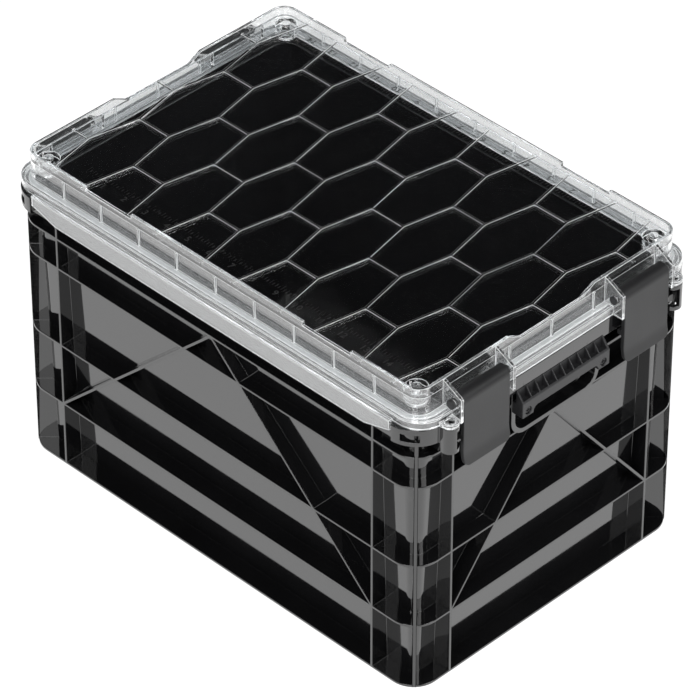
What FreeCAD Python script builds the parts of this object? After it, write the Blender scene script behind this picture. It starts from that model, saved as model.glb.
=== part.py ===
import FreeCAD, Part
import math
import os
import Sketcher

# Ribbed storage crate: a black moulded tub, a clear hinged lid, two latches and two carrying handles.
# X runs along the crate with the latches at +X, Y across it, Z up from the floor it stands on.

# Driving sizes in millimetres, kept in the document's sheet
SIZES = (
    # Shared fits
    ("overrun", 2.0),
    ("pin_radius", 2.5),
    ("pin_clearance", 0.05),
    ("screw_radius", 2.0),
    ("screw_clearance", 0.05),
    # Tub: ribs stand on one upright outline, and the wall behind them leans inwards to the floor
    ("rib_half_length", 235.0),
    ("rib_half_width", 159.0),
    ("rib_corner_radius", 24.5),
    ("rib_depth_base", 17.5),
    ("rib_depth_top", 9.8),
    ("rib_thickness", 2.4),
    ("corner_rib_thickness", 3.2),
    ("tub_wall", 3.0),
    ("floor_thickness", 3.0),
    ("low_rib_height", 66.5),
    ("middle_rib_height", 130.0),
    ("high_rib_height", 212.0),
    ("rim_rib_height", 243.0),
    ("side_post_place", 185.5),
    ("end_post_place", 117.0),
    # Tub rim
    ("rim_top", 275.0),
    ("rim_depth", 16.0),
    ("rim_overhang", 5.0),
    ("rim_plate", 3.0),
    ("rim_skirt", 3.0),
    ("skirt_recess", 3.3),
    ("skirt_end_gap", 2.0),
    ("tongue_half_length", 232.5),
    ("tongue_half_width", 155.5),
    ("tongue_corner_radius", 21.0),
    ("tongue_thickness", 3.0),
    ("tongue_height", 4.0),
    ("slot_height", 7.0),
    ("slot_drop", 5.0),
    ("slot_depth", 8.0),
    # Guard round the finger space of each handle
    ("guard_half_width", 51.6),
    ("guard_bottom", 209.2),
    ("guard_wall", 4.6),
    ("guard_radius", 16.6),
    ("guard_reach", 236.5),
    ("finger_floor", 225.2),
    # Padlock eyes on the rim and on the lid
    ("eye_x", 243.5),
    ("eye_y", 130.5),
    ("eye_radius", 8.0),
    ("eye_hole_radius", 4.5),
    ("eye_bottom", 250.0),
    ("eye_plate", 4.0),
    # Handles
    ("handle_half_width", 51.0),
    ("handle_face", 248.0),
    ("handle_plate", 3.5),
    ("handle_top", 262.0),
    ("handle_brow", 251.6),
    ("handle_bottom", 236.8),
    ("handle_end_width", 13.0),
    ("grip_bottom", 242.6),
    ("grip_radius", 5.0),
    ("vent_width", 8.4),
    ("vent_pitch", 9.9),
    ("vent_margin", 1.4),
    ("vent_drop", 2.4),
    ("vent_floor", 1.2),
    ("handle_screw_y", 44.0),
    ("handle_screw_z", 242.0),
    ("handle_sink", 3.0),
    ("screw_head_radius", 3.5),
    ("screw_head_height", 2.0),
    ("screw_length", 20.0),
    ("screw_boss_radius", 5.2),
    # Lid
    ("lid_seat_gap", 0.4),
    ("flange_top", 284.0),
    ("flange_plate", 3.0),
    ("flange_edge", 3.0),
    ("flange_half_length", 240.0),
    ("flange_half_width", 160.0),
    ("flange_corner_radius", 24.0),
    ("dome_half_length", 230.0),
    ("dome_half_width", 152.0),
    ("dome_corner_radius", 14.0),
    ("lid_wall", 3.0),
    ("panel_top", 302.5),
    ("panel_thickness", 3.0),
    ("lip_top", 309.6),
    ("lip_low", 305.6),
    ("side_notch_start", 100.0),
    ("side_notch_end", 154.0),
    ("end_notch_low", 36.0),
    ("end_notch_high", 50.0),
    ("hex_pitch", 45.25),
    ("hex_row", 49.1),
    ("hex_flat", 35.6),
    ("hex_rib_width", 2.4),
    ("hex_rib_rise", 1.6),
    ("wall_rib_depth", 1.5),
    ("wall_rib_thickness", 2.2),
    ("wall_rib_top", 301.0),
    ("skirt_thickness", 2.8),
    ("skirt_bottom", 260.0),
    ("skirt_end_bottom", 268.0),
    ("skirt_shelf", 2.6),
    ("skirt_half_length", 209.0),
    ("skirt_taper", 28.0),
    ("ear_thickness", 3.0),
    ("ear_gap", 2.0),
    ("ear_reach", 250.0),
    ("ear_shoulder", 298.6),
    ("boss_x", 214.0),
    ("boss_y", 138.0),
    ("boss_radius", 9.5),
    ("boss_hole_radius", 4.0),
    ("boss_bottom", 288.0),
    # Seal in the lid's channel
    ("gasket_width", 5.0),
    ("gasket_height", 1.7),
    ("gasket_gap", 0.3),
    # Latches and the hinge share one width, each between two lid ears
    ("station_y", 93.5),
    ("station_width", 52.4),
    ("latch_pivot_x", 240.5),
    ("latch_pivot_z", 290.8),
    ("latch_roll_radius", 8.2),
    ("latch_hub_radius", 5.2),
    ("latch_plate", 4.0),
    ("latch_curve_top", 242.0),
    ("latch_curve_middle", 236.5),
    ("latch_bottom", 228.5),
    ("latch_curve_out", 0.8),
    ("latch_tail_out", 2.6),
    ("latch_corner_radius", 6.0),
    ("hook_clear", 0.4),
    ("hook_drop", 0.5),
    ("hook_height", 4.5),
    # Hinge
    ("hinge_x", 246.0),
    ("hinge_z", 285.5),
    ("knuckle_radius", 4.5),
    ("hinge_ear_radius", 5.5),
    ("hinge_ear_reach", 248.0),
    ("hinge_ear_shoulder", 289.5),
    ("hinge_sink", 2.0),
    ("hinge_block_bottom", 257.0),
    ("hinge_block_drop", 1.0),
    ("hinge_screw_spread", 15.0),
    ("hinge_screw_z", 265.5),
    ("hinge_pad_width", 12.0),
    ("hinge_pad_reach", 224.0),
    # Pin ends
    ("pin_head_radius", 4.0),
    ("pin_head_height", 1.5),
    ("pin_cap_radius", 4.2),
    ("pin_cap_height", 3.0),
    ("pin_cap_depth", 2.0),
)

# How far round the latch's roll and the corner slots reach, in degrees
ROLL_TURN = 117.0
SLOT_FIRST = 18.0
SLOT_LAST = 50.0
VENT_COUNT = 10

doc = FreeCAD.newDocument("crate")
sheet = doc.addObject("Spreadsheet::Sheet", "sizes")


class Size:
    """A length that carries its number and the sheet formula that it comes from."""

    def __init__(self, number, formula):
        self.number = number
        self.formula = formula

    def __add__(self, other):
        other = as_size(other)
        return Size(self.number + other.number, "(%s + %s)" % (self.formula, other.formula))

    def __sub__(self, other):
        other = as_size(other)
        return Size(self.number - other.number, "(%s - %s)" % (self.formula, other.formula))

    def __mul__(self, factor):
        return Size(self.number * factor, "(%s * %.12g)" % (self.formula, factor))

    __rmul__ = __mul__

    def __truediv__(self, factor):
        return self * (1.0 / factor)

    def __neg__(self):
        return self * -1

    def over(self, other):
        """This length as a multiple of another one."""
        return Size(self.number / other.number, "(%s / %s)" % (self.formula, other.formula))

    def times(self, ratio):
        """This length times a ratio of two lengths."""
        return Size(self.number * ratio.number, "(%s * %s)" % (self.formula, ratio.formula))


def as_size(value):
    return value if isinstance(value, Size) else Size(float(value), "%.12g" % value)


def hypotenuse(first, second):
    return Size(math.hypot(first.number, second.number), "hypot(%s; %s)" % (first.formula, second.formula))


class SizeBook:
    """The sheet's sizes by name."""

    def __init__(self, rows):
        self.numbers = dict(rows)

    def __getattr__(self, name):
        return Size(self.numbers[name], "sizes." + name)


for row, (alias, number) in enumerate(SIZES, start=1):
    sheet.set("A%d" % row, alias)
    sheet.set("B%d" % row, "%g" % number)
    sheet.setAlias("B%d" % row, alias)
doc.recompute()
s = SizeBook(SIZES)

# Sizes that follow from the driving ones
rim_half_length = s.rib_half_length + s.rim_overhang
rim_half_width = s.rib_half_width + s.rim_overhang
rim_corner_radius = s.rib_corner_radius + s.rim_overhang
rim_bottom = s.rim_top - s.rim_depth
flange_bottom = s.rim_top + s.lid_seat_gap
flange_under = s.flange_top - s.flange_plate
panel_bottom = s.panel_top - s.panel_thickness
latch_face = s.latch_pivot_x + s.latch_roll_radius
ear_inner = s.station_y - s.station_width / 2 - s.ear_gap - s.ear_thickness
ear_outer = s.station_y + s.station_width / 2 + s.ear_gap
pin_bore = s.pin_radius + s.pin_clearance
screw_bore = s.screw_radius + s.screw_clearance
handle_screw_seat = s.handle_face - s.handle_sink
hinge_block_reach = s.hinge_x + s.knuckle_radius
hinge_screw_seat = hinge_block_reach - s.hinge_sink
END_SIGNS = (1, -1)


# Helpers for the document

def bind(item, place, size):
    """Ties a property to the sheet."""
    item.setExpression(place, as_size(size).formula)


def new_body(label):
    body = doc.addObject("PartDesign::Body", label)
    body.Label = label
    return body


def new_sketch(body, role, level=0, name="outline"):
    """A sketch on one of the body's own planes, moved along the plane's normal to a level."""
    sketch = body.newObject("Sketcher::SketchObject", name)
    plane = [item for item in body.Origin.OriginFeatures if item.Role == role][0]
    sketch.AttachmentSupport = [(plane, "")]
    sketch.MapMode = "FlatFace"
    bind(sketch, "AttachmentOffset.Base.z", level)
    return sketch


def vector(x, y):
    return FreeCAD.Vector(as_size(x).number, as_size(y).number, 0)


def point_rules(geometry, end, x, y):
    """The rules that hold one end of a line, or the middle of a circle, at its two coordinates."""
    rules = []
    for axis, kind, place in ((-2, "DistanceX", as_size(x)), (-1, "DistanceY", as_size(y))):
        if place.number == 0:
            rules.append((Sketcher.Constraint("PointOnObject", geometry, end, axis), None))
        else:
            rules.append((Sketcher.Constraint(kind, geometry, end, place.number), place))
    return rules


def radius_rule(geometry, radius):
    return Sketcher.Constraint("Radius", geometry, radius.number), radius


def add_rules(sketch, rules):
    """Adds constraints to a sketch in one go, each tied to its size where it has one."""
    first = sketch.ConstraintCount
    sketch.addConstraint([rule for rule, size in rules])
    for row, (rule, size) in enumerate(rules, start=first):
        if size is not None:
            bind(sketch, "Constraints[%d]" % row, size)


def draw_circle(sketch, x, y, radius):
    shape = Part.Circle(vector(x, y), FreeCAD.Vector(0, 0, 1), radius.number)
    geometry = sketch.addGeometry(shape, False)
    add_rules(sketch, point_rules(geometry, 3, x, y) + [radius_rule(geometry, radius)])


def draw_outline(sketch, points, arcs=None):
    """A closed outline.

    Arcs maps a point's number to the radius of the arc that starts there and bulges outwards.
    """
    arcs = arcs or {}
    corners = [vector(x, y) for x, y in points]
    shapes = []
    for number, start in enumerate(corners):
        finish = corners[(number + 1) % len(corners)]
        if number in arcs:
            chord = finish - start
            outwards = FreeCAD.Vector(chord.y, -chord.x, 0).normalize()
            radius = arcs[number].number
            rise = radius - math.sqrt(radius ** 2 - (chord.Length / 2) ** 2)
            shapes.append(Part.Arc(start, start + chord / 2 + outwards * rise, finish))
        else:
            shapes.append(Part.LineSegment(start, finish))
    rows = sketch.addGeometry(shapes, False)
    rules = []
    for number, row in enumerate(rows):
        after = rows[(number + 1) % len(rows)]
        rules.append((Sketcher.Constraint("Coincident", row, 2, after, 1), None))
        rules.extend(point_rules(row, 1, *points[number]))
        if number in arcs:
            rules.append(radius_rule(row, arcs[number]))
    add_rules(sketch, rules)


def draw_box(sketch, left, right, low, high):
    draw_outline(sketch, ((left, low), (right, low), (right, high), (left, high)))


def draw_round_box(sketch, left, right, low, high, radius):
    """A rectangle with round corners, met by its sides at a tangent."""
    left, right, low, high, radius = [as_size(value) for value in (left, right, low, high, radius)]
    points = (
        (left + radius, low), (right - radius, low), (right, low + radius), (right, high - radius),
        (right - radius, high), (left + radius, high), (left, high - radius), (left, low + radius),
    )
    draw_outline(sketch, points, {number: radius for number in (1, 3, 5, 7)})


def draw_centred_box(sketch, half_x, half_y, radius):
    draw_round_box(sketch, -half_x, half_x, -half_y, half_y, radius)


def add_pad(body, sketch, length, both_ways=False, back=False):
    pad = body.newObject("PartDesign::Pad", "pad")
    pad.Profile = sketch
    pad.SideType = "Symmetric" if both_ways else "One side"
    pad.Reversed = back
    bind(pad, "Length", length)
    return pad


def add_pocket(body, sketch, length, both_ways=False, back=False):
    """A cut against the sketch's normal, or along it with back, that has to take something away."""
    doc.recompute()
    before = body.Shape.Volume
    pocket = body.newObject("PartDesign::Pocket", "pocket")
    pocket.Profile = sketch
    pocket.SideType = "Symmetric" if both_ways else "One side"
    pocket.Reversed = back
    bind(pocket, "Length", length)
    doc.recompute()
    if not body.Shape.Volume < before:
        raise ValueError("a cut in %s takes nothing away" % body.Label)
    return pocket


def add_loft(body, kind, sections):
    loft = body.newObject("PartDesign::" + kind, "loft")
    loft.Profile = sections[0]
    loft.Sections = list(sections[1:])
    loft.Ruled = True
    return loft


def round_low_corners(body, level, radius):
    """Rounds the edges that run along X at the body's lowest level."""
    doc.recompute()
    last = body.Tip
    close = s.pin_clearance.number
    names = []
    for number, edge in enumerate(last.Shape.Edges, start=1):
        box = edge.BoundBox
        if box.ZMax < level.number + close and box.YLength < close:
            names.append("Edge%d" % number)
    rounding = body.newObject("PartDesign::Fillet", "rounding")
    rounding.Base = (last, names)
    bind(rounding, "Radius", radius)


def set_place(item, x, y, z, turn=None):
    """Moves a sub-part to its place, turned by an axis and an angle where it is given."""
    if turn:
        turned = FreeCAD.Rotation(FreeCAD.Vector(*turn[0]), turn[1])
        item.Placement = FreeCAD.Placement(FreeCAD.Vector(0, 0, 0), turned)
    for axis, size in (("x", x), ("y", y), ("z", z)):
        bind(item, "Placement.Base." + axis, size)


def rod(name, radius, length, x, y, z, turn):
    """A plain round bar from a point, along Z turned by an axis and an angle."""
    bar = doc.addObject("Part::Cylinder", name)
    bind(bar, "Radius", radius)
    bind(bar, "Height", length)
    set_place(bar, x, y, z, turn)
    return bar


ALONG_X = ((0, 1, 0), 90)
AGAINST_X = ((0, 1, 0), -90)


# Tub

def tub_section(body, level, depth, inset):
    """The wall's outline at a level, a depth behind the ribs and an inset further in."""
    sketch = new_sketch(body, "XY_Plane", level)
    back = depth + inset
    draw_centred_box(sketch, s.rib_half_length - back, s.rib_half_width - back, s.rib_corner_radius - back)
    return sketch


def tub_rim(body):
    sketch = new_sketch(body, "XY_Plane", rim_bottom)
    draw_centred_box(sketch, rim_half_length, rim_half_width, rim_corner_radius)
    add_pad(body, sketch, s.rim_depth)
    sketch = new_sketch(body, "XY_Plane", rim_bottom)
    inset = s.rim_skirt + s.skirt_recess
    draw_centred_box(sketch, rim_half_length - s.rim_skirt, rim_half_width - inset, rim_corner_radius - inset)
    add_pocket(body, sketch, s.rim_depth - s.rim_plate, back=True)
    sketch = new_sketch(body, "XY_Plane", s.rim_top)
    wall = s.tongue_thickness
    draw_centred_box(sketch, s.tongue_half_length, s.tongue_half_width, s.tongue_corner_radius)
    draw_centred_box(
        sketch, s.tongue_half_length - wall, s.tongue_half_width - wall, s.tongue_corner_radius - wall)
    add_pad(body, sketch, s.tongue_height)


def tub_level_rib(body, height):
    sketch = new_sketch(body, "XY_Plane", height)
    draw_centred_box(sketch, s.rib_half_length, s.rib_half_width, s.rib_corner_radius)
    add_pad(body, sketch, s.rib_thickness, both_ways=True)


def tub_posts(body):
    """Upright ribs on the four sides and round the four corners."""
    post_top = s.rim_top - s.rim_plate
    half = s.rib_thickness / 2
    for role, place, reach in (
        ("XZ_Plane", s.side_post_place, s.rib_half_width),
        ("YZ_Plane", s.end_post_place, s.rib_half_length),
    ):
        sketch = new_sketch(body, role)
        for sign in END_SIGNS:
            draw_box(sketch, place * sign - half, place * sign + half, 0, post_top)
        add_pad(body, sketch, reach * 2, both_ways=True)
    sketch = new_sketch(body, "XY_Plane")
    diagonal = math.sqrt(0.5)
    side = s.corner_rib_thickness / 2 * diagonal
    reach = s.rib_corner_radius * diagonal
    for sign_x in END_SIGNS:
        for sign_y in END_SIGNS:
            x = s.rib_half_length - s.rib_corner_radius
            y = s.rib_half_width - s.rib_corner_radius
            plan = ((x - side, y + side), (x + side, y - side), (x + reach + side, y + reach - side),
                    (x + reach - side, y + reach + side))
            draw_outline(sketch, [(px * sign_x, py * sign_y) for px, py in plan])
    add_pad(body, sketch, post_top)


def tub_braces(body):
    """A pair of slanting ribs on each side, from the middle of the top down to the outer posts."""
    for role, place, apex, reach in (
        ("XZ_Plane", s.side_post_place, s.rim_rib_height, s.rib_half_width),
        ("YZ_Plane", s.end_post_place, s.high_rib_height, s.rib_half_length),
    ):
        rise = apex - s.low_rib_height
        half = (s.rib_thickness / 2).times(hypotenuse(place, rise).over(place))
        foot = s.low_rib_height
        sketch = new_sketch(body, role)
        draw_outline(sketch, (
            (-place, foot - half), (as_size(0), apex - half), (place, foot - half),
            (place, foot + half), (as_size(0), apex + half), (-place, foot + half),
        ))
        add_pad(body, sketch, reach * 2, both_ways=True)


def tub_guards(body):
    """The raised edge round the finger space under each handle."""
    sketch = new_sketch(body, "YZ_Plane")
    draw_round_box(sketch, -s.guard_half_width, s.guard_half_width, s.guard_bottom, s.rim_top, s.guard_radius)
    add_pad(body, sketch, s.guard_reach * 2, both_ways=True)
    inner = s.guard_half_width - s.guard_wall
    for sign in END_SIGNS:
        sketch = new_sketch(body, "YZ_Plane", s.guard_reach * sign)
        draw_round_box(
            sketch, -inner, inner, s.guard_bottom + s.guard_wall, rim_bottom, s.guard_radius - s.guard_wall)
        add_pocket(body, sketch, s.guard_reach - s.finger_floor, back=sign < 0)


def tub_screw_seats(body):
    """Bosses for the handle screws at both ends, and pads in the rear rim for the hinge screws."""
    boss_back = s.finger_floor - s.tub_wall / 2
    for sign in END_SIGNS:
        sketch = new_sketch(body, "YZ_Plane", s.guard_reach * sign)
        for side in END_SIGNS:
            draw_circle(sketch, s.handle_screw_y * side, s.handle_screw_z, s.screw_boss_radius)
        add_pad(body, sketch, s.guard_reach - boss_back, back=sign > 0)
    sketch = new_sketch(body, "XY_Plane", rim_bottom)
    for station in END_SIGNS:
        for side in END_SIGNS:
            middle = s.station_y * station + s.hinge_screw_spread * side
            half = s.hinge_pad_width / 2
            draw_box(
                sketch, s.rim_skirt / 2 - rim_half_length, -s.hinge_pad_reach, middle - half, middle + half)
    add_pad(body, sketch, s.rim_depth - s.rim_plate)


def draw_eyes(sketch, back):
    """The plan of both padlock eyes, round at the tip and square where they join at the back."""
    for side in END_SIGNS:
        middle = s.eye_y * side
        draw_outline(sketch, (
            (back, middle - s.eye_radius), (s.eye_x, middle - s.eye_radius), (s.eye_x + s.eye_radius, middle),
            (s.eye_x, middle + s.eye_radius), (back, middle + s.eye_radius),
        ), {1: s.eye_radius, 2: s.eye_radius})


def tub_eyes(body):
    """Padlock eyes beside the latches, open towards the latch between two plates."""
    sketch = new_sketch(body, "XY_Plane", s.eye_bottom)
    draw_eyes(sketch, s.finger_floor - s.tub_wall / 2)
    add_pad(body, sketch, s.rim_top - s.eye_bottom)
    sketch = new_sketch(body, "XY_Plane", s.rim_top)
    for side in END_SIGNS:
        draw_circle(sketch, s.eye_x, s.eye_y * side, s.eye_hole_radius)
    add_pocket(body, sketch, s.rim_top - s.eye_bottom)
    sketch = new_sketch(body, "XY_Plane", s.eye_bottom + s.eye_plate)
    for side in END_SIGNS:
        inside = (s.eye_y - s.eye_radius - s.overrun) * side
        edges = sorted((inside, s.eye_y * side), key=lambda place: place.number)
        draw_box(sketch, rim_half_length, s.eye_x + s.eye_radius + s.overrun, edges[0], edges[1])
    add_pocket(body, sketch, s.rim_top - s.eye_bottom - s.eye_plate * 2, back=True)


def tub_rim_cuts(body):
    """The rests for the lid's side skirts, the corner slots and the screw holes."""
    recess = s.skirt_half_length + s.skirt_end_gap
    for sign in END_SIGNS:
        sketch = new_sketch(body, "XZ_Plane", rim_half_width * sign)
        draw_box(sketch, -recess, recess, rim_bottom, s.rim_top)
        add_pocket(body, sketch, s.skirt_recess, back=sign < 0)
    sketch = new_sketch(body, "XY_Plane", s.rim_top - s.slot_drop)
    for sign_x in END_SIGNS:
        for sign_y in END_SIGNS:
            draw_outline(sketch, [(x * sign_x, y * sign_y) for x, y in slot_plan()])
    add_pocket(body, sketch, s.slot_height)
    for sign in END_SIGNS:
        sketch = new_sketch(body, "YZ_Plane", s.guard_reach * sign)
        for side in END_SIGNS:
            draw_circle(sketch, s.handle_screw_y * side, s.handle_screw_z, screw_bore)
        add_pocket(body, sketch, screw_depth(handle_screw_seat, s.guard_reach), back=sign < 0)
    sketch = new_sketch(body, "YZ_Plane", -rim_half_length)
    for station in END_SIGNS:
        for side in END_SIGNS:
            middle = s.station_y * station + s.hinge_screw_spread * side
            draw_circle(sketch, middle, s.hinge_screw_z, screw_bore)
    add_pocket(body, sketch, screw_depth(hinge_screw_seat, rim_half_length), back=True)


def tub_inside(body):
    floor_share = s.floor_thickness.over(s.rim_top)
    floor_depth = s.rib_depth_base - (s.rib_depth_base - s.rib_depth_top).times(floor_share)
    add_loft(body, "SubtractiveLoft", (
        tub_section(body, s.floor_thickness, floor_depth, s.tub_wall),
        tub_section(body, s.rim_top, s.rib_depth_top, s.tub_wall),
    ))


def screw_depth(seat, surface):
    """How deep a screw seated at one place goes below a surface behind it."""
    return s.screw_length - (seat - surface) + s.screw_clearance


def slot_plan():
    """The plan of one corner slot, cut through the rim between two angles round the corner."""
    x = rim_half_length - rim_corner_radius
    y = rim_half_width - rim_corner_radius
    near = rim_corner_radius - s.slot_depth
    far = rim_corner_radius + s.overrun
    plan = []
    for radius, angle in ((near, SLOT_FIRST), (far, SLOT_FIRST), (far, SLOT_LAST), (near, SLOT_LAST)):
        turn = math.radians(angle)
        plan.append((x + radius * math.sin(turn), y + radius * math.cos(turn)))
    return plan


def make_tub():
    body = new_body("crate_tub")
    tub_rim(body)
    add_loft(body, "AdditiveLoft", (
        tub_section(body, 0, s.rib_depth_base, 0),
        tub_section(body, s.rim_top, s.rib_depth_top, 0),
    ))
    tub_level_rib(body, s.rim_rib_height)
    tub_guards(body)
    tub_screw_seats(body)
    tub_eyes(body)
    tub_rim_cuts(body)
    for height in (s.high_rib_height, s.middle_rib_height, s.low_rib_height, s.rib_thickness / 2):
        tub_level_rib(body, height)
    tub_posts(body)
    tub_braces(body)
    tub_inside(body)
    return body


# Handles

def make_handle(label, turned):
    """A plate that stands off the rim on a row of sloped fins, screwed to the tub at both ends."""
    body = new_body(label)
    face = s.handle_face
    back = face - s.handle_plate
    under = s.handle_brow - s.vent_drop
    sketch = new_sketch(body, "XZ_Plane")
    draw_outline(sketch, (
        (rim_half_length, s.handle_top), (face, s.handle_brow), (face, s.handle_bottom),
        (back, s.handle_bottom), (back, under), (rim_half_length, under),
    ))
    add_pad(body, sketch, s.handle_half_width * 2, both_ways=True)
    for side in END_SIGNS:
        sketch = new_sketch(body, "XZ_Plane", (s.handle_half_width - s.handle_end_width / 2) * side)
        draw_box(sketch, s.guard_reach, back, s.handle_bottom, under)
        add_pad(body, sketch, s.handle_end_width, both_ways=True)
    inner = s.handle_half_width - s.handle_end_width
    sketch = new_sketch(body, "YZ_Plane", face)
    draw_round_box(sketch, -inner, inner, s.handle_bottom - s.grip_radius * 2, s.grip_bottom, s.grip_radius)
    add_pocket(body, sketch, s.handle_plate)
    sketch = new_sketch(body, "XY_Plane", s.handle_top)
    for number in range(VENT_COUNT):
        middle = s.vent_pitch * (number - (VENT_COUNT - 1) / 2)
        half = s.vent_width / 2
        draw_box(sketch, rim_half_length, face - s.vent_margin, middle - half, middle + half)
    add_pocket(body, sketch, s.handle_top - under - s.vent_floor)
    for radius, depth in (
        (s.screw_head_radius + s.screw_clearance, s.handle_sink),
        (screw_bore, face - s.guard_reach),
    ):
        sketch = new_sketch(body, "YZ_Plane", face)
        for side in END_SIGNS:
            draw_circle(sketch, s.handle_screw_y * side, s.handle_screw_z, radius)
        add_pocket(body, sketch, depth)
    if turned:
        set_place(body, 0, 0, 0, ((0, 0, 1), 180))
    return body


def make_screws(label, seat, places, end):
    """A set of pan-head screws along X. Seat is where the underside of each head bears."""
    pieces = []
    for number, (y, z) in enumerate(places):
        into = AGAINST_X if end > 0 else ALONG_X
        out = ALONG_X if end > 0 else AGAINST_X
        head = rod(
            "%s_head_%d" % (label, number), s.screw_head_radius, s.screw_head_height, seat * end, y, z, out)
        shank = rod("%s_shank_%d" % (label, number), s.screw_radius, s.screw_length, seat * end, y, z, into)
        screw = doc.addObject("Part::Fuse", "%s_%d" % (label, number))
        screw.Base = head
        screw.Tool = shank
        pieces.append(screw)
    group = doc.addObject("Part::Compound", label)
    group.Label = label
    group.Links = pieces
    return group


# Lid

def lid_flange(body):
    """The flange with its channel, and a skirt outside the rim along each long side."""
    sketch = new_sketch(body, "XY_Plane", flange_bottom)
    draw_centred_box(sketch, s.flange_half_length, s.flange_half_width, s.flange_corner_radius)
    add_pad(body, sketch, s.flange_top - flange_bottom)
    sketch = new_sketch(body, "XZ_Plane")
    draw_box(sketch, -s.skirt_half_length, s.skirt_half_length, flange_bottom, flange_bottom + s.skirt_shelf)
    add_pad(body, sketch, rim_half_width * 2, both_ways=True)
    sketch = new_sketch(body, "XY_Plane", flange_bottom)
    edge = s.flange_edge
    draw_centred_box(
        sketch, s.flange_half_length - edge, s.flange_half_width - edge, s.flange_corner_radius - edge)
    add_pocket(body, sketch, flange_under - flange_bottom, back=True)
    long_end = s.skirt_half_length
    short_end = s.skirt_half_length - s.skirt_taper
    top = flange_bottom + s.skirt_shelf
    for sign in END_SIGNS:
        sketch = new_sketch(body, "XZ_Plane", rim_half_width * sign)
        draw_outline(sketch, (
            (-short_end, s.skirt_bottom), (short_end, s.skirt_bottom),
            (long_end, s.skirt_end_bottom), (long_end, top),
            (-long_end, top), (-long_end, s.skirt_end_bottom),
        ))
        add_pad(body, sketch, s.skirt_thickness, back=sign > 0)


def lid_dome(body):
    """Walls with upright ribs outside, the panel and the lip above it."""
    sketch = new_sketch(body, "XY_Plane", flange_under)
    draw_centred_box(sketch, s.dome_half_length, s.dome_half_width, s.dome_corner_radius)
    add_pad(body, sketch, s.lip_top - flange_under)
    half = s.wall_rib_thickness / 2
    for role, pitch, count, reach in (
        ("XZ_Plane", s.hex_pitch, 4, s.dome_half_width),
        ("YZ_Plane", s.hex_row, 1, s.dome_half_length),
    ):
        sketch = new_sketch(body, role)
        for number in range(-count, count + 1):
            middle = pitch * number
            draw_box(sketch, middle - half, middle + half, flange_under, s.wall_rib_top)
        add_pad(body, sketch, (reach + s.wall_rib_depth) * 2, both_ways=True)
    wall = s.lid_wall
    for level, depth, up in (
        (flange_bottom, panel_bottom - flange_bottom, True),
        (s.lip_top, s.lip_top - s.panel_top, False),
    ):
        sketch = new_sketch(body, "XY_Plane", level)
        draw_centred_box(
            sketch, s.dome_half_length - wall, s.dome_half_width - wall, s.dome_corner_radius - wall)
        add_pocket(body, sketch, depth, back=up)


def lid_honeycomb(body):
    """Long hexagon ribs on the panel: zigzag lines across it, joined by short straight ones."""
    half = s.hex_rib_width / 2
    wall = s.lid_wall / 2
    edge_y = s.dome_half_width - wall
    edge_x = s.dome_half_length - wall
    swing = (s.hex_pitch - s.hex_flat) / 2
    rows = (-edge_y, s.hex_row * -2, -s.hex_row, as_size(0), s.hex_row, s.hex_row * 2, edge_y)
    for phase in (0, 1):
        sketch = new_sketch(body, "XY_Plane", s.panel_top - s.panel_thickness / 2)
        for number in range(-5, 5):
            if number % 2 != phase:
                continue
            middle = s.hex_pitch * (number + 0.5)
            turns = [middle + swing * (1 if (row + phase) % 2 else -1) for row in range(len(rows))]
            right = [(x + half, y) for x, y in zip(turns, rows)]
            left = [(x - half, y) for x, y in zip(turns, rows)]
            draw_outline(sketch, right + left[::-1])
        add_pad(body, sketch, s.hex_rib_rise + s.panel_thickness / 2)
    sketch = new_sketch(body, "XY_Plane", s.panel_top - s.panel_thickness / 2)
    for row in range(-2, 3):
        for number in range(-5, 6):
            if (number + row) % 2 == 0:
                continue
            middle = s.hex_pitch * number
            low = -edge_x if number == -5 else middle - s.hex_flat / 2
            high = edge_x if number == 5 else middle + s.hex_flat / 2
            draw_box(sketch, low, high, s.hex_row * row - half, s.hex_row * row + half)
    add_pad(body, sketch, s.hex_rib_rise + s.panel_thickness / 2)


def lid_notches(body):
    """Gaps in the lip, square and shallow along the sides, sloped and down to the panel at the ends."""
    top = s.lip_top
    sketch = new_sketch(body, "XZ_Plane")
    for sign in END_SIGNS:
        edges = sorted((s.side_notch_start * sign, s.side_notch_end * sign), key=lambda place: place.number)
        draw_box(sketch, edges[0], edges[1], s.lip_low, top)
    add_pocket(body, sketch, s.dome_half_width * 2, both_ways=True)
    sketch = new_sketch(body, "YZ_Plane")
    draw_outline(sketch, (
        (-s.end_notch_low, s.panel_top), (s.end_notch_low, s.panel_top),
        (s.end_notch_high, top), (-s.end_notch_high, top),
    ))
    add_pocket(body, sketch, s.dome_half_length * 2, both_ways=True)


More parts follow.
